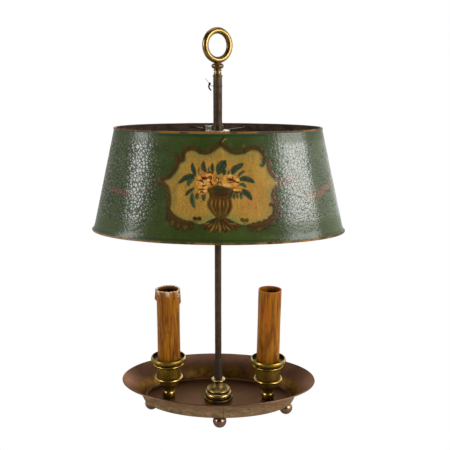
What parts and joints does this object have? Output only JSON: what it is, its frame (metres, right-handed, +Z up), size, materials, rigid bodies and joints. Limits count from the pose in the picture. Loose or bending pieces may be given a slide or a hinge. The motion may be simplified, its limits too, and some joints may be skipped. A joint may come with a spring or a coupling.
{
  "type": "bouillotte lamp",
  "caption": "Bouillotte table lamp: oval metal dish on ball feet, two candle lampholders, a stem with a carrying ring and an oval painted shade that slides and turns.",
  "frame": {"origin": "on the stem's axis, in the plane on which the four feet stand", "axes": "+Z up the stem, +X along the long side of the dish and shade towards the plain leaning candle, +Y to the back"},
  "size_m": [0.278, 0.1466, 0.4308],
  "materials": {
    "tray_patina": "dull red-brown patina over thin sheet copper alloy, worn paler outside",
    "foot_metal": "dull copper-brown ball",
    "turned_brass": "aged turned brass, bright on the ridges and dark in the grooves",
    "dark_bronze": "dark brown-grey bronze patina",
    "polished_brass": "rubbed golden brass with brown patina in the hollows",
    "hub_brass": "plain brass, lightly tarnished",
    "steel": "plain steel",
    "fitting_brass": "plain brass fittings",
    "tag_wire_dark": "blackened twisted wire",
    "holder_phenolic": "black phenolic lampholder",
    "lead_sheath": "dark insulation",
    "terminal_plastic": "ivory terminal block",
    "cover_paint": "dark brown painted sheet",
    "candle_amber": "aged amber imitation candle, satin",
    "shade_green": "green painted sheet under crackled varnish",
    "gilt_edge": "worn gilt bronze paint"
  },
  "bodies": {
    "base": {"tray": "tray_patina", "foot_front": "foot_metal", "foot_back": "foot_metal", "foot_left": "foot_metal", "foot_right": "foot_metal", "pedestal": "turned_brass", "stem_ferrule": "dark_bronze", "lower_tube": "dark_bronze", "tube_joiner": "hub_brass", "upper_tube": "dark_bronze", "tie_rod": "steel", "stem_washer": "steel", "stem_nut": "steel", "finial_collar": "polished_brass", "ring_handle": "polished_brass", "tag_wire": "tag_wire_dark", "left_cup": "turned_brass", "right_cup": "turned_brass", "left_nipple": "fitting_brass", "right_nipple": "fitting_brass", "left_lock_nut": "fitting_brass", "right_lock_nut": "fitting_brass", "left_washer": "steel", "right_washer": "steel", "left_base_nut": "fitting_brass", "right_base_nut": "fitting_brass", "left_holder": "holder_phenolic", "right_holder": "holder_phenolic", "left_shell": "fitting_brass", "right_shell": "fitting_brass", "left_contact": "fitting_brass", "right_contact": "fitting_brass", "left_lead": "lead_sheath", "right_lead": "lead_sheath", "terminal_block": "terminal_plastic", "terminal_screws": "steel", "wiring_cover": "cover_paint", "cover_screws": "steel", "cord_inlet": "lead_sheath"},
    "lock": {"lock_collar": "hub_brass"},
    "screw": {"thumbscrew": "hub_brass"},
    "shade": {"shade_spider": "hub_brass", "shade_shell": "shade_green", "shade_top_bead": "gilt_edge", "shade_bottom_bead": "gilt_edge"},
    "left_candle": {"left_sleeve": "candle_amber"},
    "right_candle": {"right_sleeve": "candle_amber"}
  },
  "joints": [
    {"name": "shade_slide", "type": "slide", "parent": "base", "child": "lock", "axis": [0, 0, 1], "range_m": [-0.063, 0.034]},
    {"name": "thumbscrew_turn", "type": "hinge", "parent": "lock", "child": "screw", "pos_m": [-0.0093, 0, 0.3267], "axis": [-1, 0, 0], "range_deg": [0, 540]},
    {"name": "shade_turn", "type": "hinge", "parent": "lock", "child": "shade", "pos_m": [0, 0, 0.324], "axis": [0, 0, 1], "continuous": true},
    {"name": "left_candle_lift", "type": "slide", "parent": "base", "child": "left_candle", "axis": [0, 0, 1], "range_m": [0, 0.08]},
    {"name": "right_candle_lift", "type": "slide", "parent": "base", "child": "right_candle", "axis": [0.0175, 0, 0.9998], "range_m": [0, 0.08]}
  ]
}
